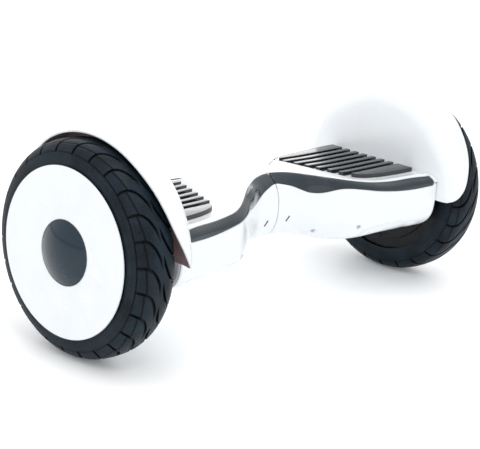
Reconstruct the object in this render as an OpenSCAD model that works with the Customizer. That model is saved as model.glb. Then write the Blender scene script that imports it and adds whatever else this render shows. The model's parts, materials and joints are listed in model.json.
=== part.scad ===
// Self balancing hoverboard, 10 inch class.
// X runs along the axles, -Y is the front, +Z is up. The origin is on the floor, midway between the wheels.

/* [Wheels] */
// Outer diameter of the tyres
wheel_d = 260; // [215:1:320]
// Width of the tyres
tyre_w = 62; // [50:1:76]
// Distance between the middles of the tyres
track = 598; // [495:1:720]
// Radius of the rim flange
rim_r = 97; // [94:0.5:100]
// Radius of the white wheel cap
cap_r = 101.8; // [98:0.2:108]
// Radius of the black domed centre cap
dome_r = 39.2; // [30:0.2:50]
// Height of the dome over the wheel cap
dome_h = 10.5; // [6:0.5:16]

/* [Body] */
// Depth of the body, front to back, at its outer end
body_depth = 212; // [175:1:256]
// Depth of the neck, front to back
neck_depth = 70; // [68:1:84]
// Height of the deck over the axle
deck_rise = 34; // [32:0.5:42]
// Depth of the belly below the axle
belly_drop = 46; // [44:0.5:56]
// Height of the neck's top over the axle
neck_rise = 53; // [50:0.5:60]
// Depth of the neck's underside below the axle
neck_drop = 35; // [33:0.5:42]
// Wall of the plastic shells
wall = 2.5; // [2:0.1:3.2]
// Gap between the two halves at the seam
seam_gap = 1.2; // [0.8:0.1:3]

/* [Fenders] */
// Radial gap from tyre to fender
fender_gap = 5.5; // [5:0.5:14]
// Radius of the round corner between the fender's wall and its rim
fender_round = 18; // [8:1:24]
// Gap from the tyre's inner side to the fender's wall
wheel_gap = 19; // [17:0.5:40]

/* [Foot pads] */
// Distance between the middles of two tread bars
bar_pitch = 15.5; // [13:0.1:16]
// Width of a tread bar
bar_w = 7.5; // [5:0.1:9]
// Height of the tread bars over the deck
bar_h = 5.4; // [3:0.1:8]
// Travel of a foot pad
pad_travel = 1.5; // [0.8:0.1:2]

/* [Pivot] */
// Outer diameter of the pivot tube
tube_d = 44; // [36:1:46]
// Wall of the pivot tube
tube_wall = 4; // [3:0.5:5]
// Largest twist of one half against the other, each way
twist = 12; // [6:1:14]

/* [Motor] */
// Diameter of the axle in its bearings
axle_d = 17; // [15:1:17]
// Outer diameter of the stator
stator_d = 144; // [120:1:146]
// Number of stator teeth
teeth = 27; // [18:3:36]
// Number of magnets
magnets = 30; // [20:2:40]

/* [Hidden] */

fit = 0.05;          // radial clearance of a shaft in its bearing or bush
slip = 0.3;          // clearance between pieces that don't fit each other
axle_z = wheel_d / 2;
wheel_x = track / 2;
tyre_in = wheel_x - tyre_w / 2;
tyre_out = wheel_x + tyre_w / 2;
body_end = tyre_in - wheel_gap - wall - 0.5;
body_x0 = seam_gap / 2;
pivot_z = axle_z + 8;
deck_z = axle_z + deck_rise;
belly_z = axle_z - belly_drop;
neck_top = axle_z + neck_rise;
neck_bottom = axle_z - neck_drop;

// ---------- outline of the body, as functions of the distance x from the seam ----------
function mix(a, b, k) = a + (b - a) * k;
function clamp01(k) = max(0, min(1, k));
function ease(k) = let (c = clamp01(k)) c * c * (3 - 2 * c);
flare = body_depth / 2 - neck_depth / 2;          // how much the half depth grows from neck to end
function half_depth(x) = neck_depth / 2 + 0.65 * flare * ease((x - 25) / 115)
    + 0.35 * flare * clamp01((x - 60) / (body_end - 60));
function top_z(x) = mix(neck_top, deck_z, ease(x / 175));
function bottom_z(x) = mix(neck_bottom, belly_z, ease(x / 120));
function shape(x) = ease(x / 110);                // 0 is the oval neck, 1 is the square body
stations = [for (x = [0, 20, 38, 52, 66, 80, 95, 110, 130, 155, 175]) x, mix(175, body_end, 0.5), body_end];
quarter = 7;                                      // steps in a quarter of a section

// A point of the section at x: a superellipse whose exponents grow from the neck to the body
function bend(v, p) = sign(v) * pow(abs(v), 2 / p);
function section_point(x, a, inset) =
    let (p = mix(2.3, sin(a) > 0 ? 8 : 3.3, shape(x)),
         h = sin(a) > 0 ? top_z(x) - pivot_z : pivot_z - bottom_z(x))
    [x, (half_depth(x) - inset) * bend(cos(a), p), pivot_z + (h - inset) * bend(sin(a), p)];
function ring(x, inset) = [for (i = [0 : 4 * quarter - 1]) section_point(x, i * 90 / quarter, inset)];

// The closed solid between the sections from x0 to x1
module body_form(inset = 0, x0 = body_x0, x1 = body_end) {
    n = 4 * quarter;
    xs = [x0, for (x = stations) if (x > x0 + 3 && x < x1 - 3) x, x1];
    points = [for (x = xs) each ring(x, inset)];
    last = (len(xs) - 1) * n;
    faces = [
        [for (i = [0 : n - 1]) i],
        [for (i = [n - 1 : -1 : 0]) last + i],
        for (k = [0 : len(xs) - 2], i = [0 : n - 1])
            let (a = k * n + i, b = k * n + (i + 1) % n) each [[a, a + n, b + n], [a, b + n, b]]
    ];
    polyhedron(points, faces);
}

// A wall along Y whose outline in X and Z lies between two curves
module curtain(low, high, y0, y1) {
    translate([0, y1, 0]) rotate([90, 0, 0]) linear_extrude(y1 - y0) polygon(concat(low, [for (i = [len(high) - 1 : -1 : 0]) high[i]]));
}
curve_x = [body_x0 - 2, for (x = stations) if (x > 3) x, body_end + 4];
function along(f) = [for (x = curve_x) [x, f(x)]];

// Height of the joint between the upper and the lower shell, and the edges of the trim band over it
function parting_z(x) = axle_z + mix(42, 27, ease(x / 160));
function band_top(x) = axle_z + mix(49.5, 35.5, ease(x / 130)) + 2.5 * ease((x - 80) / 40) * (1 - ease((x - 120) / 60));
lamp_x = 62;         // middle of the lamp window
function lamp_bulge(x) = exp(-pow((x - lamp_x) / 15, 2));
function band_bottom(x) = axle_z + mix(41, 23.5, ease(x / 150)) + 8 * ease((x - 70) / 30) * (1 - ease((x - 110) / 60))
    - 7 * lamp_bulge(x);
function band_y(x) = max(10, half_depth(x) - mix(26, 8, ease(x / 70)));
band_t = 1.6;        // thickness of the trim band
band_end = body_end - 10;

module side(s) { if (s < 0) mirror([1, 0, 0]) children(); else children(); }
module across(x, d, h) { translate([x, 0, axle_z]) rotate([0, 90, 0]) cylinder(d = d, h = h, $fn = 96); }
// A solid turned about the axle, from an outline of [x, radius] points
module turned(points) {
    translate([0, 0, axle_z]) rotate([90, 0, 90]) rotate_extrude($fn = 128) polygon([for (p = points) [p[1], p[0]]]);
}

// ---------- foot pads ----------
pad_y = 10;                                       // middle of the pad
pad_x1 = body_end - 6;
function pad_x0(y) = body_end - 127 - 0.36 * y;   // the inner ends of the bars slant
bars = 6;
crescent_y = (bars - 1) / 2 * bar_pitch + bar_pitch - bar_w / 2 - 0.5;
crescent_depth = [25, 15];                        // of the front and of the rear crescent
module bar_outline(i) {
    y = pad_y + (i - (bars - 1) / 2) * bar_pitch;
    translate([pad_x0(y), y - bar_w / 2]) square([pad_x1 - pad_x0(y), bar_w]);
}
module crescent_outline(s) {
    y = pad_y + s * crescent_y;
    length = pad_x1 - pad_x0(y + s * 2);
    points = [for (a = [90 : 6 : 174]) [pad_x1 + length * cos(a), y + s * crescent_depth[s < 0 ? 0 : 1] * sin(a)]];
    polygon(concat([[pad_x1, y]], points, [[pad_x1 - length, y]]));
}
module bars_outline() {
    for (i = [0 : bars - 1]) bar_outline(i);
    for (s = [-1, 1]) crescent_outline(s);
}
function deck_under(x) = top_z(x) - wall;
mat_t = 2;
mat_gap = 0.9;       // from the underside of the deck down to the mat
pad_curve = [for (x = stations) if (x > 60) x];
function lift(f, dz) = [for (x = concat([60], pad_curve)) [x, f(x) + dz]];
plungers = [[0.35, -1], [0.35, 1], [0.8, -1], [0.8, 1]];
function plunger_x(k) = mix(pad_x0(pad_y), pad_x1, k);
plunger_y = 24;
board_z = pivot_z + 13;                           // top of the sensor board
module foot_pad() {
    color([0.09, 0.1, 0.11]) {
        intersection() {
            linear_extrude(400) bars_outline();
            curtain(lift(function (x) deck_under(x), -mat_gap - mat_t), lift(function (x) top_z(x), bar_h), -120, 120);
        }
        intersection() {
            translate([pad_x0(pad_y) + 8, pad_y - crescent_y - 8, 0]) cube([pad_x1 - pad_x0(pad_y) - 14, 2 * crescent_y + 16, 400]);
            curtain(lift(function (x) deck_under(x), -mat_gap - mat_t), lift(function (x) deck_under(x), -mat_gap), -120, 120);
        }
        for (p = plungers) translate([plunger_x(p[0]), pad_y + p[1] * plunger_y, board_z + pad_travel + 0.4])
            cylinder(d = 9, h = deck_under(plunger_x(p[0])) - mat_gap - 0.5 - board_z - pad_travel - 0.4, $fn = 32);
    }
}

// ---------- shells ----------
module shell_form() {
    difference() {
        body_form();
        body_form(inset = wall, x0 = body_x0 + wall, x1 = body_end - wall);
        // passage of the pivot tube through the neck's end wall
        translate([-5, 0, pivot_z]) rotate([0, 90, 0]) cylinder(d = tube_d + 12, h = 20, $fn = 96);
        // passage of the axle through the outer end wall
        across(body_end - 10, axle_d + 12, 20);
    }
}
module band_zone(grow, y0, y1) {
    xs = [for (x = curve_x) if (x < band_end - 4) x, band_end + grow];
    curtain([for (x = xs) [x, band_bottom(x) - grow]], [for (x = xs) [x, band_top(x) + grow]], y0, y1);
}
module band_form(grow, s) {
    intersection() {
        difference() {
            body_form();
            body_form(inset = band_t + grow, x0 = body_x0 - 1, x1 = body_end + 1);
        }
        if (s < 0) band_zone(grow, -150, -10); else band_zone(grow, 10, 150);
        // outboard of the deck
        linear_extrude(400) polygon(concat([for (x = curve_x) [x, s * (band_y(x) - grow)]],
            [[curve_x[len(curve_x) - 1], s * 160], [curve_x[0], s * 160]]));
    }
}
screw_spots = [for (p = [[67, 14], [115, 13.5], [body_end - 26, 16.5]]) [p[0], half_depth(p[0]) - p[1]]];
screw_head_z = axle_z - 26;
module screw_places() {
    for (p = screw_spots, s = [-1, 1]) translate([p[0], s * p[1], 0]) children();
}
boss_d = 11;
screw_head_h = 3;
plate_z = axle_z + 11;                            // underside of the chassis plate
plate_t = 4;
top_spots = [[84, 0], [90, half_depth(90) - 24.6], [90, 24.6 - half_depth(90)], [body_end - 21, -62]];
fender_spots = [[34 - body_depth / 2, 19], [0, 22], [body_depth / 2 - 34, 19]];       // [y, height over the axle] of the screws that hold the fender
module fender_screw_places(x) {
    for (p = fender_spots) translate([x, p[0], axle_z + p[1]]) rotate([0, 90, 0]) children();
}
module top_shell() {
    color("white") {
        difference() {
            union() {
                intersection() {
                    shell_form();
                    curtain(along(function (x) parting_z(x) + 0.1), along(function (x) neck_top + 20), -150, 150);
                }
                for (p = top_spots) translate([p[0], p[1], plate_z + plate_t + 0.1])
                    cylinder(d = 8, h = top_z(p[0]) - wall / 2 - plate_z - plate_t, $fn = 32);
            }
            for (p = top_spots) translate([p[0], p[1], plate_z]) cylinder(d = 3.2, h = 14, $fn = 32);
            linear_extrude(400) offset(delta = slip) bars_outline();
            for (s = [-1, 1]) band_form(0.2, s);
        }
    }
}
indicator_x = 21;
indicator_z = axle_z - 7;
module indicator_form(grow) {
    translate([indicator_x, -60, indicator_z]) rotate([0, 35, 0]) cube([3 + grow, 60, 9 + grow], center = true);
}
socket_x = body_end - 96;
socket_z = axle_z - 12;
button_x = body_end - 58;
module bottom_shell(ports = false) {
    color("white") {
        difference() {
            union() {
                intersection() {
                    shell_form();
                    curtain(along(function (x) belly_z - 20), along(function (x) parting_z(x)), -150, 150);
                }
                intersection() {
                    body_form(inset = wall / 2);
                    screw_places() cylinder(d = boss_d, h = plate_z - 0.2, $fn = 32);
                }
            }
            for (s = [-1, 1]) band_form(0.2, s);
            screw_places() {
                cylinder(d = 4.6, h = plate_z + 1, $fn = 32);
                cylinder(d = 8, h = screw_head_z + screw_head_h, $fn = 32);
            }
            fender_screw_places(body_end - 5) cylinder(d = 4.4, h = 10, $fn = 32);
            indicator_form(0.4);
            if (ports) {
                translate([socket_x, 0, socket_z]) rotate([-90, 0, 0]) cylinder(d = 16.4, h = 150, $fn = 64);
                translate([button_x, 0, socket_z]) rotate([-90, 0, 0]) cylinder(d = 16.4, h = 150, $fn = 64);
            }
        }
    }
}

// ---------- fender ----------
fender_r = wheel_d / 2 + fender_gap + wall;
fender_x0 = body_end + 0.3;
fender_low = axle_z + 1.5;
// The free edge sweeps from the tip to the top of the wheel
fender_reach = wheel_x + 2 - fender_x0;
function sweep(k) = fender_x0 + 9 + (fender_reach - 9) * pow(sin(90 * pow(k, 0.62)), 0.8);
module fender() {
    inner_r = fender_r - wall;
    arc = [for (a = [0 : 10 : 90]) [fender_x0 + fender_round * (1 - sin(a)), fender_r - fender_round * (1 - cos(a))]];
    arc_in = [for (a = [90 : -10 : 0]) [fender_x0 + wall + (fender_round - wall) * (1 - sin(a)),
        inner_r - (fender_round - wall) * (1 - cos(a))]];
    x1 = fender_x0 + fender_reach;
    color("white") difference() {
        intersection() {
            turned(concat([[x1, fender_r]], arc, [[fender_x0, 22], [fender_x0 + wall, 22]], arc_in, [[x1, inner_r]]));
            translate([0, 150, 0]) rotate([90, 0, 0]) linear_extrude(300)
                polygon(concat([[fender_x0 - 1, fender_low]],
                    [for (k = [0 : 0.1 : 1]) [sweep(k), mix(fender_low, axle_z + fender_r + 1, k)]],
                    [[fender_x0 - 1, axle_z + fender_r + 1]]));
        }
        // the clamp end of the axle passes under the wall
        across(fender_x0 - 5, 56, 20);
        fender_screw_places(body_end - 5) cylinder(d = 4.2, h = 10, $fn = 32);
    }
}

// ---------- trim bands and lamps ----------
module trim(s) { color([0.2, 0.22, 0.24]) band_form(0, s); }
module lamp_board() {
    x = lamp_x + 8;
    for (s = [-1, 1]) color([0.1, 0.35, 0.2]) translate([x, s * (half_depth(x) - wall - 9), plate_z + plate_t + 8.1])
        rotate([0, 0, s * 35]) cube([26, 1.6, 16], center = true);
}
module indicator_window() {
    color([0.1, 0.1, 0.12]) intersection() {
        indicator_form(0);
        difference() {
            body_form();
            body_form(inset = wall + 1, x0 = -5, x1 = body_end + 5);
        }
    }
}

// ---------- chassis ----------
boss_x1 = 56;                                     // end of the tube boss
bush_t = 3;
clamp_x0 = body_end - 40;
clamp_x1 = body_end - wall - 3;
module plate_outline(inset) {
    xs = [58, for (x = stations) if (x > 60 && x < clamp_x1 - 4) x, clamp_x1];
    polygon(concat([for (x = xs) [x, -half_depth(x) + inset]], [for (i = [len(xs) - 1 : -1 : 0]) [xs[i], half_depth(xs[i]) - inset]]));
}
clamp_w = 62;
clamp_bolt = [[8, 20], [25, 20]];
module clamp_places() {
    for (p = clamp_bolt, s = [-1, 1]) translate([clamp_x0 + p[0], s * p[1], 0]) children();
}
module chassis(bore) {
    color([0.72, 0.73, 0.74]) difference() {
        union() {
            translate([0, 0, plate_z]) linear_extrude(plate_t) plate_outline(9);
            translate([0, 0, plate_z - 9]) linear_extrude(9) difference() {
                plate_outline(9);
                plate_outline(13);
            }
            translate([body_x0 + wall + 1, 0, pivot_z]) rotate([0, 90, 0]) cylinder(d = tube_d + 14, h = boss_x1 - body_x0 - wall - 1, $fn = 96);
            // gusset from the tube boss to the plate
            translate([boss_x1 - 14, -33, plate_z - 12]) cube([19.5, 66, 12 + plate_t]);
            // upper half of the axle clamp
            translate([clamp_x0, -clamp_w / 2, axle_z + 0.5]) cube([clamp_x1 - clamp_x0, clamp_w, plate_z + plate_t - axle_z]);
            // posts for the sensor board
            for (p = plungers) translate([plunger_x(p[0]), pad_y + p[1] * (plunger_y + 16), plate_z + plate_t - 0.5])
                cylinder(d = 7, h = board_z - 1.6 - plate_z - plate_t + 0.5, $fn = 32);
        }
        translate([-5, 0, pivot_z]) rotate([0, 90, 0]) cylinder(d = bore, h = boss_x1 + 5, $fn = 96);
        translate([boss_x1 - 1, 0, pivot_z]) rotate([0, 90, 0]) cylinder(d = tube_d + 10, h = 20, $fn = 96);
        across(clamp_x0 - 2, axle_d, 60);
        clamp_places() translate([0, 0, axle_z - 10]) cylinder(d = 5.2, h = 22, $fn = 32);
        screw_places() {
            translate([0, 0, plate_z - 1]) cylinder(d = 4.2, h = plate_t + 2, $fn = 32);
            translate([0, 0, plate_z - 30]) cylinder(d = boss_d + 1, h = 30, $fn = 48);
        }
        for (p = top_spots) translate([p[0], p[1], plate_z - 1]) cylinder(d = 3.2, h = plate_t + 2, $fn = 32);
        // hole for the twist stop pin
        translate([stop_x, 0, pivot_z]) cylinder(d = stop_d, h = 60, $fn = 48);
        // cable slot
        translate([cable_x - cable_d / 2 - 1, -5, plate_z - 1]) cube([cable_d + 2, 10, plate_t + 2]);
    }
}
module axle_clamp() {
    color([0.6, 0.61, 0.62]) difference() {
        translate([clamp_x0, -clamp_w / 2, axle_z - 18]) cube([clamp_x1 - clamp_x0, clamp_w, 17.5]);
        across(clamp_x0 - 2, axle_d, 60);
        clamp_places() translate([0, 0, axle_z - 30]) cylinder(d = 6.4, h = 40, $fn = 32);
    }
}
module clamp_bolts(lock = false) {
    // the left half also has the screw that locks the tube
    if (lock) color([0.35, 0.36, 0.38]) translate([stop_x, 0, pivot_z + tube_d / 2 - tube_wall + 1])
        cylinder(d = stop_d - 0.1, h = tube_wall + 7, $fn = 48);
    color([0.35, 0.36, 0.38]) clamp_places() {
        translate([0, 0, axle_z - 18]) cylinder(d = 5, h = 28, $fn = 32);
        difference() {
            translate([0, 0, axle_z - 24]) cylinder(d = 10, h = 6, $fn = 48);
            translate([0, 0, axle_z - 25]) cylinder(d = 5.8, h = 4, $fn = 6);
        }
    }
}

// ---------- pivot between the halves ----------
stop_x = 30;
stop_d = 6;
clip_x = boss_x1 + 0.3;
clip_t = 1.8;
tube_end = clip_x + clip_t + 4;
module pivot_tube() {
    r = tube_d / 2;
    color([0.62, 0.64, 0.67]) translate([0, 0, pivot_z]) rotate([0, 90, 0]) difference() {
        translate([0, 0, -boss_x1]) cylinder(r = r, h = tube_end + boss_x1, $fn = 96);
        translate([0, 0, -boss_x1 - 1]) cylinder(r = r - tube_wall, h = 200, $fn = 96);
        // groove for the retaining clip
        translate([0, 0, clip_x]) difference() {
            cylinder(r = r + 1, h = clip_t + 0.2, $fn = 96);
            translate([0, 0, -1]) cylinder(r = r - 1.5, h = clip_t + 2.2, $fn = 96);
        }
        // slot in which the stop pin travels
        reach = twist + asin((stop_d / 2 + 0.2) / (r - tube_wall / 2));
        translate([0, 0, stop_x - stop_d / 2 - 0.3]) linear_extrude(stop_d + 0.6)
            polygon(concat([[0, 0]], [for (a = [-reach : reach / 6 : reach + 0.01]) [-60 * cos(a), 60 * sin(a)]]));
        // cross hole for the left half's lock pin
        translate([0, 0, -stop_x]) rotate([0, -90, 0]) cylinder(d = stop_d, h = 40, $fn = 48);
    }
}
module neck_bush() {
    color([0.93, 0.92, 0.88]) translate([0, 0, pivot_z]) rotate([0, 90, 0]) difference() {
        union() {
            translate([0, 0, body_x0 + wall + 1]) cylinder(d = tube_d + 2 * bush_t - 2 * fit, h = boss_x1 - body_x0 - wall - 2.5, $fn = 96);
            translate([0, 0, body_x0 + 0.6]) cylinder(d = tube_d + 11, h = wall + 0.4, $fn = 96);
        }
        translate([0, 0, -1]) cylinder(d = tube_d + 2 * fit, h = 80, $fn = 96);
        translate([0, 0, stop_x]) rotate([0, -90, 0]) cylinder(d = stop_d + 0.4, h = 60, $fn = 48);
    }
}
module retaining_clip() {
    color([0.3, 0.31, 0.33]) translate([clip_x + 0.1, 0, pivot_z]) rotate([0, 90, 0]) difference() {
        cylinder(d = tube_d + 8, h = clip_t, $fn = 96);
        translate([0, 0, -1]) cylinder(d = tube_d - 3 + 2 * fit, h = clip_t + 2, $fn = 96);
        translate([0, 0, -1]) linear_extrude(clip_t + 2) polygon([[0, 0], [60, -14], [60, 14]]);
    }
}
// The pin in the right half that runs in the tube's slot and stops the twist
module twist_stop_pin() {
    top = pivot_z + tube_d / 2 + 6.5;
    color([0.4, 0.41, 0.43]) translate([stop_x, 0, pivot_z + tube_d / 2 - tube_wall + 1]) cylinder(d = stop_d - 0.1, h = top - pivot_z - tube_d / 2 + tube_wall - 1, $fn = 48);
}

// ---------- electronics ----------
battery = [112, 90, 40];
battery_x = clamp_x0 - 10 - battery[0];
module rounded_block(size, r) {
    linear_extrude(size[2]) offset(r = r, $fn = 24) offset(delta = -r) translate([0, -size[1] / 2]) square([size[0], size[1]]);
}
module battery_pack() {
    color([0.15, 0.35, 0.75]) translate([battery_x, 0, plate_z - 0.2 - battery[2] - 3]) rounded_block(battery, 6);
    // foam strip between the pack and the plate, and the strap that holds it
    color([0.1, 0.1, 0.1]) translate([battery_x + 40, -battery[1] / 2 - 1.8, plate_z - battery[2] - 5]) difference() {
        cube([20, battery[1] + 3.6, battery[2] + 4.8]);
        translate([-1, 1.7, 1.7]) cube([22, battery[1] + 0.2, battery[2] + 10]);
    }
    color([0.2, 0.2, 0.2]) translate([battery_x + 6, -battery[1] / 2 + 8, plate_z - 3.2]) cube([battery[0] - 12, battery[1] - 16, 3]);
}
module control_board() {
    x0 = battery_x;
    z0 = plate_z - 10;
    color([0.1, 0.4, 0.22]) translate([x0, -44, z0 - 1.6]) cube([110, 88, 1.6]);
    color([0.75, 0.76, 0.78]) translate([x0 + 10, -30, z0 - 11.6]) cube([90, 14, 10]);
    color([0.1, 0.1, 0.12]) for (i = [0 : 2]) translate([x0 + 25 + 26 * i, 14, z0 - 19.6]) cylinder(d = 12.5, h = 18, $fn = 32);
    color([0.9, 0.9, 0.88]) for (i = [0 : 3]) translate([x0 + 10 + 24 * i, 30, z0 - 9.6]) cube([16, 8, 8]);
    color([0.8, 0.8, 0.8]) for (x = [15, 102], y = [-36, 36]) translate([x0 + x, y, z0]) cylinder(d = 6, h = 9.8, $fn = 32);
}
module sensor_board() {
    x0 = plunger_x(0.35) - 14;
    x1 = plunger_x(0.8) + 14;
    color([0.1, 0.4, 0.22]) translate([x0, pad_y - plunger_y - 22, board_z - 1.6]) cube([x1 - x0, 2 * plunger_y + 44, 1.6]);
}
cable_d = 6.6;
cable_x = clamp_x0 - 5.5;
module motor_cable() {
    // out of the axle's hollow end, up through the slot in the plate, to a plug on top of it
    color([0.12, 0.12, 0.13]) {
        translate([cable_x, 0, axle_z]) rotate([0, 90, 0]) cylinder(d = cable_d, h = 62, $fn = 32);
        translate([cable_x, 0, axle_z]) sphere(d = cable_d, $fn = 32);
        translate([cable_x, 0, axle_z]) cylinder(d = cable_d, h = plate_z + plate_t + 2 - axle_z, $fn = 32);
        translate([cable_x - 14, -6, plate_z + plate_t + 0.1]) cube([18, 12, 3.8]);
    }
}
module charge_socket() {
    y1 = section_point(socket_x, 340, 0)[1];
    color([0.25, 0.26, 0.28]) translate([socket_x, 0, socket_z]) rotate([-90, 0, 0]) {
        difference() {
            union() {
                translate([0, 0, y1 - 16]) cylinder(d = 16, h = 16, $fn = 64);
                translate([0, 0, y1 - wall - 6]) cylinder(d = 21, h = 2, $fn = 64);
            }
            translate([0, 0, y1 - 11]) cylinder(d = 12, h = 20, $fn = 64);
        }
        for (a = [90, 210, 330]) rotate([0, 0, a]) translate([4.2, 0, y1 - 12]) cylinder(d = 1.6, h = 9, $fn = 24);
    }
}
button_travel = 1.2;
module power_button() {
    y1 = section_point(button_x, 340, 0)[1];
    color([0.12, 0.12, 0.13]) translate([button_x, 0, socket_z]) rotate([-90, 0, 0]) {
        translate([0, 0, y1 - 10]) cylinder(d = 15.4, h = 12.5, $fn = 64);
        translate([0, 0, y1 - 12.5]) cylinder(d = 20, h = 2.7, $fn = 64);
    }
}

// ---------- screws ----------
module shell_screws() {
    color([0.3, 0.31, 0.33]) screw_places() {
        difference() {
            translate([0, 0, screw_head_z]) cylinder(d = 7.4, h = screw_head_h, $fn = 32);
            translate([0, 0, screw_head_z - 1]) cylinder(d = 3, h = screw_head_h, $fn = 6);
        }
        translate([0, 0, screw_head_z + 2.9]) cylinder(d = 4, h = plate_z + plate_t - 0.2 - screw_head_z - 2.9, $fn = 32);
    }
    color([0.3, 0.31, 0.33]) for (p = top_spots) translate([p[0], p[1], plate_z]) {
        translate([0, 0, -2]) cylinder(d = 6, h = 2, $fn = 32);
        translate([0, 0, -0.1]) cylinder(d = 3, h = 13, $fn = 32);
    }
    color([0.3, 0.31, 0.33]) fender_screw_places(body_end - wall) {
        translate([0, 0, -2.4]) cylinder(d = 7.4, h = 2.4, $fn = 32);
        translate([0, 0, -0.1]) cylinder(d = 4, h = 2 * wall + 0.2, $fn = 32);
    }
}

// ---------- hub motor ----------
bearing_d = 35;
bearing_w = 10;
rim_half = tyre_w / 2 - 5;                        // half width of the rim
magnet_r0 = stator_d / 2 + 0.8;
magnet_r1 = magnet_r0 + 4;
seat_r = rim_r - 5;
cover_r = magnet_r1 + 7;
in_bearing_x = wheel_x - rim_half - 7;
out_bearing_x = wheel_x + rim_half - bearing_w - 1;
module axle() {
    color([0.7, 0.71, 0.73]) difference() {
        union() {
            across(clamp_x0, axle_d - 2 * fit, out_bearing_x + bearing_w - 0.8 - clamp_x0);
            // shoulder that carries the stator between the bearings
            across(in_bearing_x + bearing_w + 0.2, axle_d + 8, out_bearing_x - in_bearing_x - bearing_w - 0.4);
        }
        across(clamp_x0 - 1, cable_d + 0.6, 77);
    }
}
stack_w = 28;
function polar(r, a) = [r * cos(a), r * sin(a)];
function turned_points(points, a) = [for (p = points) [p[0] * cos(a) - p[1] * sin(a), p[0] * sin(a) + p[1] * cos(a)]];
module stator() {
    r = stator_d / 2;
    half = 180 / teeth;
    shoe = half - asin(1.5 / r);                  // half angle of a tooth's shoe
    tooth = concat([[r - 20, -2.5], [r - 3.5, -2.5], polar(r - 3, -shoe)], [for (k = [-1 : 0.5 : 1]) polar(r, k * shoe)],
        [polar(r - 3, shoe), [r - 3.5, 2.5], [r - 20, 2.5], polar(r - 20, half)]);
    hub_r = axle_d / 2 + 11;
    gap_in = 36 - asin(4 / hub_r);                // half angles of a window between two spokes
    gap_out = 36 - asin(4 / (r - 32));
    window = concat([for (k = [-1 : 0.25 : 1]) polar(r - 32, 36 + k * gap_out)], [for (k = [1 : -0.5 : -1]) polar(hub_r, 36 + k * gap_in)]);
    color([0.55, 0.56, 0.58]) translate([wheel_x - stack_w / 2, 0, axle_z]) rotate([0, 90, 0]) difference() {
        linear_extrude(stack_w) polygon([for (i = [0 : teeth - 1]) each turned_points(tooth, 360 / teeth * i)]);
        for (i = [0 : 4]) translate([0, 0, -1]) linear_extrude(stack_w + 2) polygon(turned_points(window, 72 * i));
        translate([0, 0, -1]) cylinder(d = axle_d + 8 + 2 * fit, h = stack_w + 2, $fn = 96);
    }
}
module windings() {
    r = stator_d / 2;
    color([0.72, 0.42, 0.2]) translate([wheel_x - stack_w / 2, 0, axle_z]) rotate([0, 90, 0])
        for (i = [0 : teeth - 1]) rotate([0, 0, 360 / teeth * i]) difference() {
            translate([r - 18, -4.4, -4]) cube([13, 8.8, stack_w + 8]);
            translate([r - 20, -2.6, -0.1]) cube([20, 5.2, stack_w + 0.2]);
        }
}
module rim() {
    h = rim_half;
    color([0.18, 0.19, 0.2]) difference() {
        turned([[wheel_x - h, cover_r - 5], [wheel_x - h, rim_r], [wheel_x - h + 2.5, rim_r], [wheel_x - h + 2.5, seat_r],
            [wheel_x - 13, seat_r], [wheel_x - 11, seat_r - 5], [wheel_x + 11, seat_r - 5], [wheel_x + 13, seat_r],
            [wheel_x + h - 2.5, seat_r], [wheel_x + h - 2.5, rim_r], [wheel_x + h, rim_r], [wheel_x + h, cover_r - 5],
            [wheel_x + stack_w / 2 + 2, magnet_r1 + 0.05], [wheel_x - stack_w / 2 - 2, magnet_r1 + 0.05]]);
        translate([wheel_x - h - 1, 0, axle_z]) rotate([0, 90, 0]) translate([-(seat_r - 3.5), 0, 0]) cylinder(d = 6, h = rim_half - 12, $fn = 32);
    }
}
module magnet_ring() {
    color([0.75, 0.76, 0.78]) translate([wheel_x - stack_w / 2, 0, axle_z]) rotate([0, 90, 0]) difference() {
        cylinder(r = magnet_r1, h = stack_w, $fn = 128);
        translate([0, 0, -1]) cylinder(r = magnet_r0, h = stack_w + 2, $fn = 128);
        for (i = [0 : magnets - 1]) rotate([0, 0, 360 / magnets * i]) translate([magnet_r0 - 3, -0.6, -1]) cube([12, 1.2, stack_w + 2]);
    }
}
cover_bolts = 6;
pegs = 3;
peg_r = 62;
peg_d = 8;
module peg_places(x) {
    for (i = [0 : pegs - 1]) translate([x, 0, axle_z]) rotate([360 / pegs * i + 30, 0, 0]) translate([0, 0, peg_r])
        rotate([0, 90, 0]) children();
}
module motor_cover(s) {
    // s is -1 for the inner cover and 1 for the outer one
    face = wheel_x + s * rim_half;
    hub0 = s < 0 ? in_bearing_x : out_bearing_x;
    color([0.16, 0.17, 0.18]) difference() {
        union() {
            turned([[face, cover_r], [face + s * 3, cover_r - 1], [face + s * 3, 26], [hub0 + (s < 0 ? -2.5 : bearing_w + 2.5), 24],
                [hub0 + (s < 0 ? -2.5 : bearing_w + 2.5), 0], [hub0 + (s < 0 ? bearing_w : 0), 0], [hub0 + (s < 0 ? bearing_w : 0), 24], [face, 40]]);
            for (i = [0 : cover_bolts - 1]) translate([face + (s < 0 ? -4.3 : 2.7), 0, axle_z]) rotate([360 / cover_bolts * i, 0, 0])
                translate([0, 0, cover_r - 4.6]) rotate([0, 90, 0]) cylinder(d = 7, h = 1.6, $fn = 24);
        }
        across(hub0 - (s < 0 ? 0 : 0.01), bearing_d, bearing_w + 0.01);
        if (s < 0) across(hub0 - 5, axle_d + 3, 30);
        else peg_places(face - 1) cylinder(d = peg_d + 0.4, h = 8, $fn = 32);
    }
}
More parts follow.
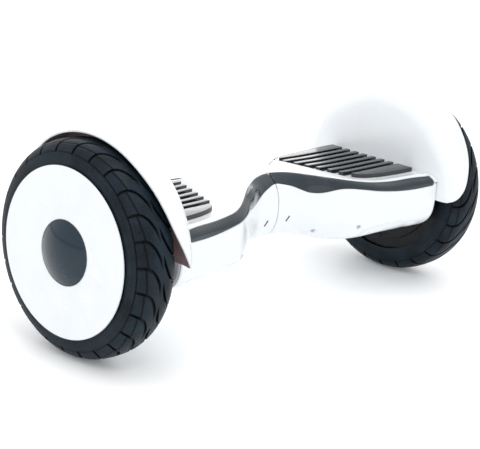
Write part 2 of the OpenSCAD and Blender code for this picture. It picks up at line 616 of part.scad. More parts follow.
module bearing(x) {
    translate([x, 0, axle_z]) rotate([0, 90, 0]) {
        difference() {
            cylinder(d = bearing_d - 0.04, h = bearing_w - 0.1, $fn = 96);
            translate([0, 0, -1]) cylinder(d = bearing_d - 6, h = bearing_w + 2, $fn = 96);
        }
        difference() {
            cylinder(d = axle_d + 6, h = bearing_w - 0.1, $fn = 96);
            translate([0, 0, -1]) cylinder(d = axle_d, h = bearing_w + 2, $fn = 96);
        }
        for (i = [0 : 7]) rotate([0, 0, 45 * i]) translate([(bearing_d + axle_d) / 4, 0, bearing_w / 2]) sphere(d = 2.9, $fn = 24);
    }
}
module bearings() {
    color([0.8, 0.81, 0.82]) {
        bearing(in_bearing_x + 0.05);
        bearing(out_bearing_x + 0.05);
    }
}
function tyre_r(dx, base, peak, half) = base + (peak - base) * pow(max(0, 1 - pow(abs(dx) / half, 2.8)), 1 / 2.8);
module tyre() {
    half = tyre_w / 2;
    base = rim_r - 0.5;
    seat = rim_half - 2.7;
    steps = [for (a = [-90 : 7.5 : 90]) sin(a)];
    outer = [for (k = steps) [wheel_x + half * k, tyre_r(half * k, base, axle_z, half)]];
    inner = [for (i = [len(steps) - 1 : -1 : 0]) [wheel_x + (half - 5) * steps[i], tyre_r((half - 5) * steps[i], base + 4, axle_z - 8, half - 5)]];
    color([0.08, 0.09, 0.1]) difference() {
        turned(concat([[wheel_x - seat, seat_r + 0.1], [wheel_x - seat, rim_r + 1]], outer, [[wheel_x + seat, rim_r + 1], [wheel_x + seat, seat_r + 0.1],
            [wheel_x + seat - 7, seat_r + 0.1]], inner, [[wheel_x - seat + 7, seat_r + 0.1]]));
        for (s = [-1, 1])
            turned([[wheel_x + s * 17 - 1, axle_z + 2], [wheel_x + s * 17 + 1, axle_z + 2], [wheel_x + s * 17 + 1, axle_z - 6.5], [wheel_x + s * 17 - 1, axle_z - 6.5]]);
    }
}
module valve_stem() {
    translate([wheel_x - rim_half - 7, 0, axle_z]) rotate([0, 90, 0]) translate([-(seat_r - 3.5), 0, 0]) {
        color([0.1, 0.1, 0.1]) cylinder(d = 5.6, h = 20, $fn = 32);
        color([0.1, 0.1, 0.1]) cylinder(d = 6.6, h = 5, $fn = 32);
    }
}
cap_x = tyre_out + 0.8;                           // back of the wheel cap's rim
module wheel_cap() {
    t = 2.4;
    dish = [for (k = [0 : 0.125 : 1]) [cap_x - 2.2 + 2.4 * k * k, mix(dome_r - 3, cap_r - 3, k)]];
    color("white") {
        turned(concat(dish, [[cap_x, cap_r - 1.5], [cap_x + 1, cap_r], [cap_x + 2.2, cap_r], [cap_x + t + 0.8, cap_r - 1.2]],
            [for (i = [len(dish) - 1 : -1 : 0]) [dish[i][0] + t, dish[i][1]]]));
        peg_places(wheel_x + rim_half + 0.8) cylinder(d = peg_d, h = cap_x - 1.2 - wheel_x - rim_half, $fn = 32);
    }
}
module dome_cap() {
    x0 = cap_x + 0.4;
    rise = dome_h;
    r = (dome_r * dome_r + rise * rise) / (2 * rise);
    a1 = asin(dome_r / r);
    outer = [for (i = [0 : 10]) [x0 + rise - r + r * cos(a1 * i / 10), r * sin(a1 * i / 10)]];
    inner = [for (i = [9 : -1 : 0]) [x0 + rise - r + (r - 2.2) * cos(a1 * i / 10), (r - 2.2) * sin(a1 * i / 10)]];
    color([0.1, 0.11, 0.12]) turned(concat(outer, [[x0, dome_r], [x0, dome_r - 3.3], [x0 - 2.6, dome_r - 3.3], [x0 - 2.6, dome_r - 5.3]], inner));
}

side(-1) top_shell();  // left_top_shell
side(-1) bottom_shell();  // left_bottom_shell
side(-1) fender();  // left_fender
side(-1) trim(-1);  // left_front_trim
side(-1) trim(1);  // left_rear_trim
side(-1) lamp_board();  // left_lamp_board
side(-1) foot_pad();  // left_foot_pad
side(-1) sensor_board();  // left_sensor_board
side(-1) chassis(tube_d + 2 * fit);  // left_chassis
side(-1) axle_clamp();  // left_axle_clamp
side(-1) clamp_bolts(true);  // left_clamp_bolts
side(-1) axle();  // left_axle
side(-1) stator();  // left_stator
side(-1) windings();  // left_windings
side(-1) motor_cable();  // left_motor_cable
side(-1) shell_screws();  // left_shell_screws
side(-1) indicator_window();  // left_indicator_window
side(-1) tyre();  // left_tyre
side(-1) rim();  // left_rim
side(-1) magnet_ring();  // left_magnets
side(-1) motor_cover(-1);  // left_inner_motor_cover
side(-1) motor_cover(1);  // left_outer_motor_cover
side(-1) bearings();  // left_bearings
side(-1) valve_stem();  // left_valve_stem
side(-1) wheel_cap();  // left_wheel_cap
side(-1) dome_cap();  // left_dome_cap
top_shell();  // right_top_shell
bottom_shell(true);  // right_bottom_shell
fender();  // right_fender
trim(-1);  // right_front_trim
trim(1);  // right_rear_trim
lamp_board();  // right_lamp_board
foot_pad();  // right_foot_pad
sensor_board();  // right_sensor_board
chassis(tube_d + 2 * bush_t);  // right_chassis
axle_clamp();  // right_axle_clamp
clamp_bolts();  // right_clamp_bolts
axle();  // right_axle
stator();  // right_stator
windings();  // right_windings
motor_cable();  // right_motor_cable
shell_screws();  // right_shell_screws
indicator_window();  // right_indicator_window
tyre();  // right_tyre
rim();  // right_rim
magnet_ring();  // right_magnets
motor_cover(-1);  // right_inner_motor_cover
motor_cover(1);  // right_outer_motor_cover
bearings();  // right_bearings
valve_stem();  // right_valve_stem
wheel_cap();  // right_wheel_cap
dome_cap();  // right_dome_cap
pivot_tube();
neck_bush();
retaining_clip();
twist_stop_pin();
side(-1) battery_pack();
control_board();
charge_socket();
power_button();
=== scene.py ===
import json
import math
import bmesh
import bpy
from mathutils import Matrix, Vector


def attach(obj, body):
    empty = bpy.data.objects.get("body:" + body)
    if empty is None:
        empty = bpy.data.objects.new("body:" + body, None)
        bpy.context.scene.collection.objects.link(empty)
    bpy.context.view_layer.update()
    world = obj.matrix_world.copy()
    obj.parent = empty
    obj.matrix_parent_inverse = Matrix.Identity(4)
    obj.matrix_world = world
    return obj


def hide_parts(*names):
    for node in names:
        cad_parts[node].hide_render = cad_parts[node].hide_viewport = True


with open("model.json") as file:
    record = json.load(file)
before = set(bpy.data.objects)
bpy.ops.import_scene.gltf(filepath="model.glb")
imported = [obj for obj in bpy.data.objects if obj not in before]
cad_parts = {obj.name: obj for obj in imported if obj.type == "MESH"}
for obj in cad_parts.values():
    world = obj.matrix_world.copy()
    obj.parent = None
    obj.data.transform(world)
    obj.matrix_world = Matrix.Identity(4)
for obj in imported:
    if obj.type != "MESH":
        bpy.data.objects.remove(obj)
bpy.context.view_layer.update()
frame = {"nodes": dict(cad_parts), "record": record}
mm = 0.001  # shapes are worked out in millimetres and scaled once, when a piece is finished
sides = {"left": -1, "right": 1}
print("frame loaded")


# small helpers
def mix(a, b, k):
    return a + (b - a) * k


def clamp01(k):
    return max(0.0, min(1.0, k))


def ease(k):
    c = clamp01(k)
    return c * c * (3 - 2 * c)


def sheet(columns, rows, place, uvPlace=None):
    # a grid whose corners are carried to place(i, j)
    bm = bmesh.new()
    bmesh.ops.create_grid(bm, x_segments=columns, y_segments=rows, size=1.0)
    spots = {}
    for corner in bm.verts:
        i = round((corner.co.x + 1) / 2 * columns)
        j = round((corner.co.y + 1) / 2 * rows)
        spots[corner] = (i, j)
    if uvPlace:
        layer = bm.loops.layers.uv.new("tread")
        for face in bm.faces:
            for loop in face.loops:
                loop[layer].uv = uvPlace(*spots[loop.vert])
    for corner, spot in spots.items():
        corner.co = place(*spot)
    return bm


def lathe(profile, steps, closed=True):
    # an outline of (x, radius) turned about the axle, in millimetres
    bm = bmesh.new()
    line = [bm.verts.new((x, 0, axleZ + r)) for x, r in profile]
    edges = [bm.edges.new((a, b)) for a, b in zip(line, line[1:])]
    if closed:
        edges.append(bm.edges.new((line[-1], line[0])))
    bmesh.ops.spin(bm, geom=line + edges, cent=(0, 0, axleZ), axis=(1, 0, 0),
                   angle=2 * math.pi, steps=steps, use_merge=True, use_duplicate=False)
    bmesh.ops.remove_doubles(bm, verts=bm.verts, dist=0.002)
    bmesh.ops.recalc_face_normals(bm, faces=bm.faces)
    return bm


def joined(parts):
    # several meshes in one
    whole = bmesh.new()
    for part in parts:
        carrier = bpy.data.meshes.new("carrier")
        part.to_mesh(carrier)
        part.free()
        whole.from_mesh(carrier)
        bpy.data.meshes.remove(carrier)
    return whole


def finishPiece(bm, name, rideOn, stands, finishes, side=1, sharp=32, weld=0.01):
    if weld:
        bmesh.ops.remove_doubles(bm, verts=bm.verts, dist=weld)
    bmesh.ops.scale(bm, vec=(side * mm, mm, mm), verts=bm.verts)
    if side < 0:
        bmesh.ops.reverse_faces(bm, faces=bm.faces)
    mesh = bpy.data.meshes.new(name)
    bm.to_mesh(mesh)
    bm.free()
    for face in mesh.polygons:
        face.use_smooth = True
    mesh.set_sharp_from_angle(angle=math.radians(sharp))
    for finish in finishes:
        mesh.materials.append(finish)
    piece = bpy.data.objects.new(name, mesh)
    bpy.context.scene.collection.objects.link(piece)
    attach(piece, rideOn)
    if stands:
        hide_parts(*stands)
    return piece


def thicken(piece, thickness, rounding=0.0, innerFinish=0):
    wall = piece.modifiers.new("wall", "SOLIDIFY")
    wall.thickness = thickness * mm
    wall.offset = -1
    wall.use_even_offset = True
    wall.material_offset = innerFinish
    if rounding:
        edge = piece.modifiers.new("edge", "BEVEL")
        edge.width = rounding * mm
        edge.segments = 2
        edge.limit_method = "ANGLE"
        edge.angle_limit = math.radians(50)
    return piece


# materials
def rgb(code):
    parts = [int(code[i:i + 2], 16) / 255 for i in (1, 3, 5)]
    return [c / 12.92 if c < 0.04045 else ((c + 0.055) / 1.055) ** 2.4 for c in parts] + [1.0]


def addNode(material, kind, settings=None, links=None):
    node = material.node_tree.nodes.new(kind)
    for key, value in (settings or {}).items():
        if isinstance(key, int) or key in node.inputs:
            node.inputs[key].default_value = value
        else:
            setattr(node, key, value)
    for key, source in (links or {}).items():
        material.node_tree.links.new(source, node.inputs[key])
    return node


def startMaterial(name, **sockets):
    material = bpy.data.materials.new(name)
    material.use_nodes = True
    shader = material.node_tree.nodes["Principled BSDF"]
    for key, value in sockets.items():
        shader.inputs[key.replace("_", " ")].default_value = value
    return material, shader


def link(material, source, target):
    material.node_tree.links.new(source, target)


def speckled(name, light, dark, grainMm, roughness, spread, bumpMm, **sockets):
    # a surface with an uneven tone, an uneven gloss and a fine relief, all of one grain size
    material, shader = startMaterial(name, **sockets)
    where = addNode(material, "ShaderNodeTexCoord")
    grain = addNode(material, "ShaderNodeTexNoise",
                    {"Scale": 1000 / grainMm, "Detail": 4.0, "Roughness": 0.55},
                    {"Vector": where.outputs["Object"]})
    broad = addNode(material, "ShaderNodeTexNoise", {"Scale": 1000 / (grainMm * 18), "Detail": 2.0},
                    {"Vector": where.outputs["Object"]})
    blend = addNode(material, "ShaderNodeMath", {"operation": "MULTIPLY_ADD", 1: 0.5},
                    {0: grain.outputs["Fac"]})
    half = addNode(material, "ShaderNodeMath", {"operation": "MULTIPLY", 1: 0.5}, {0: broad.outputs["Fac"]})
    link(material, half.outputs[0], blend.inputs[2])
    tone = addNode(material, "ShaderNodeValToRGB", None, {"Fac": blend.outputs[0]})
    tone.color_ramp.elements[0].position = 0.35
    tone.color_ramp.elements[0].color = rgb(dark)
    tone.color_ramp.elements[1].position = 0.65
    tone.color_ramp.elements[1].color = rgb(light)
    link(material, tone.outputs["Color"], shader.inputs["Base Color"])
    gloss = addNode(material, "ShaderNodeMapRange",
                    {"To Min": roughness - spread, "To Max": roughness + spread},
                    {"Value": broad.outputs["Fac"]})
    link(material, gloss.outputs["Result"], shader.inputs["Roughness"])
    relief = addNode(material, "ShaderNodeBump", {"Strength": 0.5, "Distance": bumpMm * mm},
                     {"Height": grain.outputs["Fac"]})
    link(material, relief.outputs["Normal"], shader.inputs["Normal"])
    return material, shader


# moulded ABS: an even gloss with the faint waviness of the mould, slightly duller where it is handled
whiteAbs, shader = speckled("mouldedWhiteAbs", "#EAEDF0", "#E4E8EB", 2.2, 0.2, 0.05, 0.02,
                            IOR=1.53, Coat_Weight=0.25)
shader.inputs["Coat Roughness"].default_value = 0.08
# the fender's inside: the same moulding, given a darker, warm-tinted colour as painted shade for the wheel's
# shadow
fenderShadeLining, shader = speckled("paintedShadeLining", "#C0A4A6", "#A2868A", 5.0, 0.55, 0.08, 0.05, IOR=1.5)
# the trim band: dark grey ABS with a piano finish, a little streaked by polishing
trimGloss, shader = speckled("pianoGreyAbs", "#1C2A33", "#15212A", 1.6, 0.14, 0.05, 0.008, IOR=1.5)
# the centre dome: black acrylic, almost optically flat
domeAcrylic, shader = speckled("blackAcrylic", "#142A37", "#10232E", 3.0, 0.06, 0.02, 0.004, IOR=1.45)
# foot pads: hard rubber with a fine spark-eroded grain of about 0.6 mm, drawn at 0.9 mm so that it shows
padRubber, shader = speckled("grainedRubber", "#141B20", "#0B1013", 0.9, 0.24, 0.05, 0.07, IOR=1.62)
# lamp lens: smoked polycarbonate, polished in the mould
lampLens, shader = speckled("smokedLens", "#1A2730", "#131E26", 4.0, 0.07, 0.02, 0.004, IOR=1.56)
# indicator window: a thin moulded piece of the same plastic, less polished
smokedWindow, shader = speckled("smokedPolycarbonate", "#4A4E52", "#33373A", 1.5, 0.15, 0.04, 0.01, IOR=1.58)

# what the frame's own nodes are made of:
# light tone, dark tone, grain in mm, roughness, spread, relief in mm, metallic
plainFinishes = {
    "circuit_board": ("#1F6B42", "#17522F", 1.4, 0.35, 0.08, 0.03, 0.0),  # solder resist over copper tracks
    "cast_aluminium": ("#B4B6B8", "#94979A", 1.1, 0.42, 0.1, 0.12, 1.0),  # sand-like skin of a die casting
    "steel": ("#8D9094", "#6E7175", 0.7, 0.32, 0.1, 0.03, 1.0),           # turned, then zinc plated
    "lamination": ("#6D7074", "#505357", 0.5, 0.45, 0.08, 0.05, 1.0),     # edges of stacked electrical sheet
    "copper_wire": ("#B0622E", "#7C3F1B", 0.8, 0.3, 0.08, 0.2, 0.6),      # enamelled wire, wound in rows
    "cable_jacket": ("#1B1C1E", "#121314", 0.8, 0.5, 0.08, 0.03, 0.0),    # extruded rubber
    "rim_casting": ("#16181B", "#0E1012", 1.3, 0.3, 0.1, 0.06, 0.0),      # black stove enamel on a casting
    "magnet": ("#A9ABAE", "#85888B", 0.9, 0.25, 0.08, 0.02, 1.0),         # nickel plated
    "bearing_steel": ("#C3C5C8", "#A4A6AA", 0.5, 0.15, 0.05, 0.01, 1.0),  # ground and polished
    "bush_plastic": ("#D9D6CB", "#C6C2B5", 1.8, 0.4, 0.06, 0.03, 0.0),    # machined acetal
    "battery_wrap": ("#1D4F9C", "#173F7E", 3.0, 0.22, 0.06, 0.04, 0.0),   # heat-shrunk film
    "socket": ("#222528", "#191B1D", 1.2, 0.3, 0.06, 0.02, 0.0),          # glass filled nylon
    "button_plastic": ("#24282B", "#1B1E20", 1.2, 0.25, 0.06, 0.02, 0.0), # moulded button
}
finishes = {}
for slotName, (light, dark, grainMm, rough, spread, reliefMm, metal) in plainFinishes.items():
    finishes[slotName], shader = speckled(slotName, light, dark, grainMm, rough, spread, reliefMm,
                                          Metallic=metal)
    if slotName == "rim_casting":
        shader.inputs["Specular IOR Level"].default_value = 0.18

# tyre: carbon black rubber. Its grooves get painted shade: the base colour is mixed towards a near-black
# colour by how deep a point lies in a groove. The thin cut between two grooves is drawn here as a bump and
# as a dark line of painted shade: it leans across the block and fades out over its edges
tread = {"groove": "#04070A", "cutLean": -0.1, "cutPlace": -0.27, "cutFrom": 0.028, "cutTo": 0.045}
tyreRubber, shader = speckled("treadRubber", "#1F2C36", "#080E13", 1.5, 0.42, 0.09, 0.3, IOR=1.52)
shader.inputs["Specular IOR Level"].default_value = 0.12
colourLink = shader.inputs["Base Color"].links[0].from_socket
reliefNode = shader.inputs["Normal"].links[0].from_node
uv = addNode(tyreRubber, "ShaderNodeUVMap", {"uv_map": "tread"})
parts = addNode(tyreRubber, "ShaderNodeSeparateXYZ", None, {"Vector": uv.outputs["UV"]})
along = addNode(tyreRubber, "ShaderNodeMath", {"operation": "FRACT"}, {0: parts.outputs["X"]})
across = addNode(tyreRubber, "ShaderNodeMath",
                 {"operation": "MULTIPLY_ADD", 1: tread["cutLean"], 2: tread["cutPlace"]},
                 {0: along.outputs[0]})
height = addNode(tyreRubber, "ShaderNodeMath", {"operation": "ADD"},
                 {0: across.outputs[0], 1: parts.outputs["Y"]})
away = addNode(tyreRubber, "ShaderNodeMath", {"operation": "ABSOLUTE"}, {0: height.outputs[0]})
cut = addNode(tyreRubber, "ShaderNodeMapRange",
              {"From Min": tread["cutFrom"], "From Max": tread["cutTo"], "To Min": 0.0, "To Max": 1.0},
              {"Value": away.outputs[0]})
# painted shade: where the groove mask is high, or on the cut line, the base colour turns to the near-black
# groove colour
groove = addNode(tyreRubber, "ShaderNodeAttribute", {"attribute_name": "groove"})
block = addNode(tyreRubber, "ShaderNodeMath", {"operation": "SUBTRACT", 0: 1.0}, {1: groove.outputs["Fac"]})
both = addNode(tyreRubber, "ShaderNodeMath", {"operation": "MULTIPLY"},
               {0: cut.outputs["Result"], 1: block.outputs[0]})
shadeMix = addNode(tyreRubber, "ShaderNodeMix", {"data_type": "RGBA"})
shadeMix.inputs[6].default_value = rgb(tread["groove"])
link(tyreRubber, both.outputs[0], shadeMix.inputs[0])
link(tyreRubber, colourLink, shadeMix.inputs[7])
link(tyreRubber, shadeMix.outputs[2], shader.inputs["Base Color"])
cutRelief = addNode(tyreRubber, "ShaderNodeBump", {"Strength": 0.8, "Distance": 1.0 * mm},
                    {"Height": cut.outputs["Result"], "Normal": reliefNode.outputs["Normal"]})
link(tyreRubber, cutRelief.outputs["Normal"], shader.inputs["Normal"])
print("materials ready")


# outline of the body, as in the frame's own shells
body = {"seam": 0.6, "end": 246.0, "pivot": 138.0, "neckHalf": 35.0, "flare": 71.0, "neckTop": 183.0,
        "neckLow": 95.0, "deck": 164.0, "belly": 84.0, "wall": 2.4, "tubeHole": 28.0, "axleHole": 14.5}
axleZ = 130.0
wheelX = 299.0


def halfDepth(x):
    grow = 0.65 * ease((x - 25) / 115) + 0.35 * clamp01((x - 60) / (body["end"] - 60))
    return body["neckHalf"] + body["flare"] * grow


def topZ(x):
    return mix(body["neckTop"], body["deck"], ease(x / 175))


def lowZ(x):
    # the skin's fullness under the pads
    sag = 1.4 * ease((x - 60) / 60) + 3.0 * math.exp(-((x - 105) / 48) ** 2)
    return mix(body["neckLow"], body["belly"], ease(x / 120)) - sag * ease(x / 40)


def squareness(x, up):
    return mix(2.3, 8.0 if up else 3.3, ease(x / 110))


def sectionPoint(x, turn, scale=1.0):
    up = math.sin(turn) > 0
    power = squareness(x, up)
    tall = topZ(x) - body["pivot"] if up else body["pivot"] - lowZ(x)
    c, s = math.cos(turn), math.sin(turn)
    reach = scale * (abs(c) ** power + abs(s) ** power) ** (-1 / power)
    return Vector((x, halfDepth(x) * reach * c, body["pivot"] + tall * reach * s))


def turnAtHeight(x, z):
    up = z > body["pivot"]
    power = squareness(x, up)
    tall = topZ(x) - body["pivot"] if up else body["pivot"] - lowZ(x)
    s = min(0.9999, abs(z - body["pivot"]) / tall)
    return math.atan2(s if up else -s, (1 - s ** power) ** (1 / power))


def turnAtDepth(x, y):
    power = squareness(x, True)
    c = min(0.9999, y / halfDepth(x))
    return math.atan2((1 - c ** power) ** (1 / power), c)


# trim band edges and the joint between the shells
band = {"end": 238.0, "lampX": 62.0, "lampReach": 15.0, "lampHalf": 13.0, "gap": 0.35, "thick": 1.8,
        "hollow": 0.9, "lampRise": 2.6, "rearDrop": 5.0}


def lampBulge(x):
    return math.exp(-((x - band["lampX"]) / band["lampReach"]) ** 2)


def bandTopTurn(x, facing=-1):
    # the rear band stops a little lower down the wall than the front one
    inboard = 24.5 - 11.5 * ease(x / 60) - 2.5 * ease((x - 195) / 41)
    if facing > 0:
        inboard -= band["rearDrop"] * ease((x - 30) / 30)
    return turnAtDepth(x, halfDepth(x) - inboard)


# height of the band's lower edge, taken along the body
bandLow = [(0, 171.0), (4, 170.9), (20, 167.4), (30, 164.1), (38, 160.6), (45, 157.6), (52, 155.2),
           (60, 154.2), (68, 154.6), (75, 156.2), (83, 158.9), (90, 160.5), (98, 161.1), (105, 160.9),
           (120, 159.6), (135, 157.6), (150, 155.6), (165, 153.9), (180, 152.8), (195, 152.3), (210, 152.4),
           (236, 153.7), (246, 154.2)]


def readTable(table, x):
    # a smooth reading of a table of (place, value)
    for k in range(len(table) - 1):
        if x <= table[k + 1][0]:
            break
    (x0, v0), (x1, v1) = table[k], table[k + 1]
    before = table[k - 1] if k else table[k]
    after = table[k + 2] if k + 2 < len(table) else table[k + 1]
    s0 = (v1 - before[1]) / (x1 - before[0])
    s1 = (after[1] - v0) / (after[0] - x0)
    t = clamp01((x - x0) / (x1 - x0))
    w = x1 - x0
    return (v0 * (1 + 2 * t) * (1 - t) ** 2 + s0 * w * t * (1 - t) ** 2
            + v1 * t * t * (3 - 2 * t) - s1 * w * t * t * (1 - t))


def bandLowTurn(x):
    return turnAtHeight(x, readTable(bandLow, x))


def jointTurn(x):
    return turnAtHeight(x, axleZ + mix(42, 27, ease(x / 160)))


# stations along the body: place, then how far the edge is rounded off there
stations = [(body["seam"], 1.3), (0.75, 0.75), (1.1, 0.3), (1.7, 0.0)]
stations += [(4 + 3.5 * k, 0.0) for k in range(16)]
stations += [(61.0, 0.0)] + [(62.2 + 0.95 * k, 0.0) for k in range(11)]
stations += [(74.5 + 3.5 * k, 0.0) for k in range(11)]
stations += [(110.4 + 0.95 * k, 0.0) for k in range(11)]
stations += [(122.5 + 3.4 * k, 0.0) for k in range(33)]
stations += [(234.5, 0.0), (237.7, 0.0), (238.3, 0.0), (240.4, 0.0), (242.5, 0.0)]
stations += [(244.2, 0.2), (245.2, 0.7), (245.8, 1.5), (body["end"], 2.6)]


def edgeSteps(length, spacing, radius):
    # distances from one edge of a patch to the other, close together where the edge is rounded
    near = [0.0, 0.12 * radius, 0.35 * radius, 0.65 * radius, 1.05 * radius]
    middle = max(4, round(length / spacing))
    inner = [mix(1.05 * radius, length - 1.05 * radius, k / middle) for k in range(1, middle)]
    return near + inner + [length - d for d in reversed(near)]


def rounded(distance, radius):
    if distance >= radius:
        return 0.0
    return radius - math.sqrt(max(0.0, radius * radius - (radius - distance) ** 2))


def patchPlacer(turns, rows, radius, relief):
    # turns(x) gives the two directions that bound the patch; relief(point) is how far it is pressed in
    lines = []
    for x, chamfer in stations:
        start, stop = turns(x)
        if start is None:
            lines.append(None)
            continue
        fine = [sectionPoint(x, mix(start, stop, k / 200)) for k in range(201)]
        run = [0.0]
        for a, b in zip(fine, fine[1:]):
            run.append(run[-1] + (b - a).length)
        total = run[-1]
        steps = edgeSteps(total, total / rows, radius)
        line = []
        at = 0
        for d in steps:
            d = min(max(d, 0.0), total)
            while at < 199 and run[at + 1] < d:
                at += 1
            k = (d - run[at]) / max(1e-9, run[at + 1] - run[at])
            point = fine[at].lerp(fine[at + 1], clamp01(k))
            flow = fine[at + 1] - fine[at]
            outward = Vector((0, -flow.z, flow.y)).normalized()
            sink = rounded(d, radius) + rounded(total - d, radius) + chamfer
            sink += relief(point, d, total) if relief else 0.0
            line.append(point - outward * sink)
        lines.append(line)
    return [line for line in lines if line]


def patchMesh(lines):
    return sheet(len(lines) - 1, len(lines[0]) - 1, lambda i, j: lines[i][j])


# upper shell: deck with a bed for the foot pad
pad = {"middle": 10.0, "pitch": 15.5, "barWidth": 7.6, "bars": 6, "outer": 240.0, "rise": 5.2, "bed": 164.2,
       "bedRise": 1.2, "frontBulge": 25.0, "rearBulge": 18.0, "round": 0.8, "root": 4.0,
       "corner": 1.3, "room": 0.4}


def padInner(y):
    return pad["outer"] - 121 - 0.36 * y


def bedZ(x):
    return pad["bed"] + pad["bedRise"] * (1 - ease((x - 100) / 60))


def brow(point):
    # the front edge of the deck stands a little proud of the squarish section
    edge = ease((-point.y - halfDepth(point.x) + 32) / 16)
    high = mix(2.0, 3.5, ease((point.x - 175) / 50))
    return high * ease((point.x - 80) / 70) * edge * ease((point.z - 152) / 8)


def deckRelief(point, d, total):
    x, y = point.x, point.y
    wide = halfDepth(x)
    inPad = ease((x - padInner(y) + 17) / 15)
    inFront = ease((y + wide - 17) / 11)
    inRear = ease((wide - 5 - y) / 10)
    return max(0.0, topZ(x) - bedZ(x)) * inPad * inFront * inRear - brow(point)


def barOutline(i, room):
    # plan of one bar, anticlockwise, with its inner corners cut off
    y = pad["middle"] + (i - (pad["bars"] - 1) / 2) * pad["pitch"]
    x0 = padInner(y) - 2.0 - room
    half = pad["barWidth"] / 2 + room
    x1 = pad["outer"] + room
    corner = pad["corner"]
    return [(x0, y + half - corner), (x0, y - half + corner), (x0 + corner, y - half),
            (x1, y - half), (x1, y + half), (x0 + corner, y + half)]


def crescentOutline(facing, room):
    bulge = pad["frontBulge"] if facing < 0 else pad["rearBulge"]
    straight = (pad["bars"] - 1) / 2 * pad["pitch"] + pad["pitch"] - pad["barWidth"] / 2 - 0.5
    y = pad["middle"] + facing * (straight - room)
    length = pad["outer"] - padInner(pad["middle"] + facing * (straight + 2)) - (3.5 if facing < 0 else 10.0)
    plan = [(pad["outer"] + room, y)]
    for k in range(33):
        turn = math.radians(90 + 90 * k / 32)
        x = pad["outer"] + (length + room) * math.cos(turn) + (room if k == 0 else 0)
        plan.append((x, y + facing * (bulge + 2 * room) * math.sin(turn) ** 0.75))
    return plan if facing > 0 else plan[::-1]


def cutOpening(bm, plan):
    # clips the deck's skin along each side of the plan in turn and takes away what is left inside
    low, high = min(y for x, y in plan), max(y for x, y in plan)
    inside = [f for f in bm.faces
              if f.calc_center_median().z > 150 and low - 6 < f.calc_center_median().y < high + 6]
    for (x0, y0), (x1, y1) in zip(plan, plan[1:] + plan[:1]):
        if math.hypot(x1 - x0, y1 - y0) < 0.02 or not inside:
            continue
        out = Vector((y1 - y0, x0 - x1, 0)).normalized()
        around = {e for f in inside for e in f.edges} | {v for f in inside for v in f.verts}
        cut = bmesh.ops.bisect_plane(bm, geom=inside + list(around), dist=0.001, plane_co=(x0, y0, 0),
                                     plane_no=out)
        inside = [f for f in cut["geom"] if isinstance(f, bmesh.types.BMFace)
                  and (f.calc_center_median() - Vector((x0, y0, 0))).dot(out) < 0]
    bmesh.ops.delete(bm, geom=inside, context="FACES")


def topTurns(x):
    if x > band["end"]:
        return math.pi - jointTurn(x) - 0.004, jointTurn(x) + 0.004
    return math.pi - bandTopTurn(x), bandTopTurn(x, 1)


# lower shell: belly with a scoop on each lower edge and sunk screws
belly = {"scoopDeep": 4.2, "scoopFrom": 118.0, "scoopTo": 224.0, "recessRadius": 3.4, "recessDeep": 1.3,
         "fittingHole": 9.6}
recesses = [(67.0, 100.0), (115.0, 108.0)]
socketAt = (150.0, 118.0)
buttonAt = (188.0, 118.0)


def bellyRelief(point, d, total):
    x, z = point.x, point.z
    if z > body["pivot"] - 8:
        return 0.0
    k = (x - belly["scoopFrom"]) / (belly["scoopTo"] - belly["scoopFrom"])
    sink = 0.0
    if 0 < k < 1:
        lip = 101.5 + 6.6 * math.sin(math.pi * k) ** 0.7
        ends = ease(k / 0.16) * ease((1 - k) / 0.12)
        sink = belly["scoopDeep"] * ends * ease((lip - z) / 1.6) * (1 - ease((lip - z - 2) / 15))
    for rx, rz in recesses:
        away = math.hypot(x - rx, (z - rz) * 1.25)
        if abs(point.y) > 30 and away < 6:
            sink += belly["recessDeep"] * (1 - ease((away - belly["recessRadius"] + 0.6) / 1.2))
    return sink


def bottomTurns(x):
    edge = bandLowTurn(x) if x <= band["end"] else jointTurn(x) - 0.004
    return edge, -math.pi - edge


def ringWall(x, scale0, hole, facing):
    # an end wall of the body, from the rounded edge in to a round hole
    def place(i, j):
        turn = 2 * math.pi * j / 120 * facing
        outer = sectionPoint(x, turn, scale0)
        inner = Vector((x, hole[1] * math.cos(turn), hole[0] + hole[1] * math.sin(turn)))
        return outer.lerp(inner, (i / 8) ** 1.6)
    return sheet(8, 240, place)


def darkReturn(bm):
    # the trim band's dark plastic turns in along the seam wall, so the seam is dark between the bands
    low, high = bandLowTurn(1.0) - 0.01, bandTopTurn(1.0) + 0.01
    for face in bm.faces:
        spot = face.calc_center_median()
        up = math.atan2(spot.z - body["pivot"], abs(spot.y))
        if low < up < high and math.hypot(spot.y, spot.z - body["pivot"]) > 36:
            face.material_index = 1
    return bm


def withoutHoles(bm, spots, radius):
    gone = [f for f in bm.faces if f.calc_center_median().y > 20 and any(
        math.hypot(f.calc_center_median().x - x, f.calc_center_median().z - z) < radius for x, z in spots)]
    bmesh.ops.delete(bm, geom=gone, context="FACES")
    return bm


topLines = patchPlacer(topTurns, 120, 1.1, deckRelief)
bottomLines = patchPlacer(bottomTurns, 170, 1.1, bellyRelief)
for name, side in sides.items():
    bm = patchMesh(topLines)
    for i in range(pad["bars"]):
        cutOpening(bm, barOutline(i, pad["room"]))
    cutOpening(bm, crescentOutline(-1, pad["room"]))
    cutOpening(bm, crescentOutline(1, pad["room"]))
    piece = finishPiece(bm, f"{name}TopShell", f"{name}_half", [f"{name}_top_shell"],
                        [whiteAbs], side)
    thicken(piece, body["wall"])
    bm = patchMesh(bottomLines)
    if side > 0:
        bm = withoutHoles(bm, [socketAt, buttonAt], belly["fittingHole"])
    seamWall = darkReturn(ringWall(body["seam"], 0.962, (body["pivot"], body["tubeHole"]), 1))
    bm = joined([bm, seamWall, ringWall(body["end"], 0.976, (axleZ, body["axleHole"]), -1)])
    piece = finishPiece(bm, f"{name}BottomShell", f"{name}_half", [f"{name}_bottom_shell"],
                        [whiteAbs, trimGloss], side)
    thicken(piece, body["wall"])
print("shells ready")


